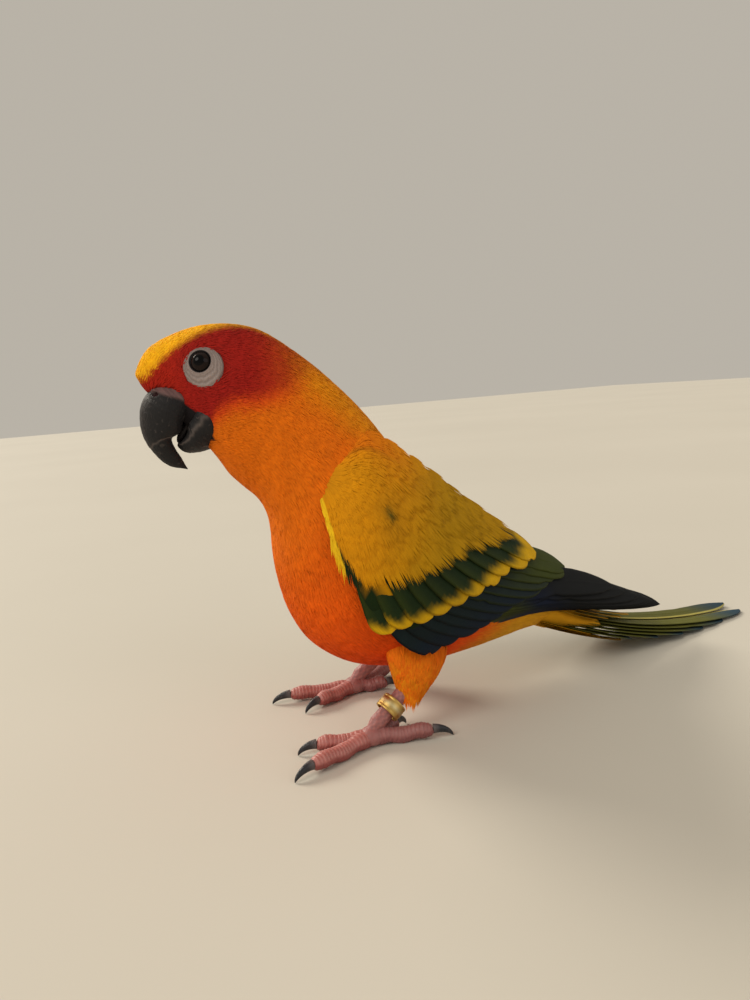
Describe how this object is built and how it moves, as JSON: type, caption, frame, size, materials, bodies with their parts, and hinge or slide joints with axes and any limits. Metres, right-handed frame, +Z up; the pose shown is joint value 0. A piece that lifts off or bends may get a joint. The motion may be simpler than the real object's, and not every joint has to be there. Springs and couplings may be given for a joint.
{
  "type": "sun conure model",
  "caption": "Life-size still model of a sun conure, a small orange and yellow parrot, standing with its long tail laid on the floor.",
  "frame": {"origin": "on the floor, under the middle of the whole bird's box", "axes": "+Z up; the bird faces -X, its tail runs to +X and its left side is -Y"},
  "size_m": [0.2168, 0.0554, 0.1176],
  "materials": {
    "head_plumage": "short soft feathers, deep orange red with a golden forehead",
    "neck_plumage": "short soft feathers, orange",
    "breast_plumage": "soft feathers, orange red",
    "rump_plumage": "soft feathers, golden orange",
    "wing_feathers": "smooth feathers, golden yellow, green and dark blue",
    "tail_feathers": "smooth feathers, olive green",
    "bill_horn": "dry dark horn with a faint gloss",
    "eye": "wet and glossy, dark brown",
    "foot_skin": "pink scaled skin",
    "claw_horn": "dark grey horn",
    "band_metal": "gold coloured metal, satin"
  },
  "bodies": {
    "root": {"bill_lower": "bill_horn", "bill_upper": "bill_horn", "claw_left_inner_front": "claw_horn", "claw_left_inner_rear": "claw_horn", "claw_left_outer_front": "claw_horn", "claw_left_outer_rear": "claw_horn", "claw_right_inner_front": "claw_horn", "claw_right_inner_rear": "claw_horn", "claw_right_outer_front": "claw_horn", "claw_right_outer_rear": "claw_horn", "eye_left": "eye", "eye_right": "eye", "foot_left": "foot_skin", "foot_right": "foot_skin", "head": "head_plumage", "leg_band": "band_metal", "neck": "neck_plumage", "rump": "rump_plumage", "tail": "tail_feathers", "thigh_left": "breast_plumage", "thigh_right": "breast_plumage", "torso": "breast_plumage", "wing_left": "wing_feathers", "wing_right": "wing_feathers"}
  },
  "joints": []
}
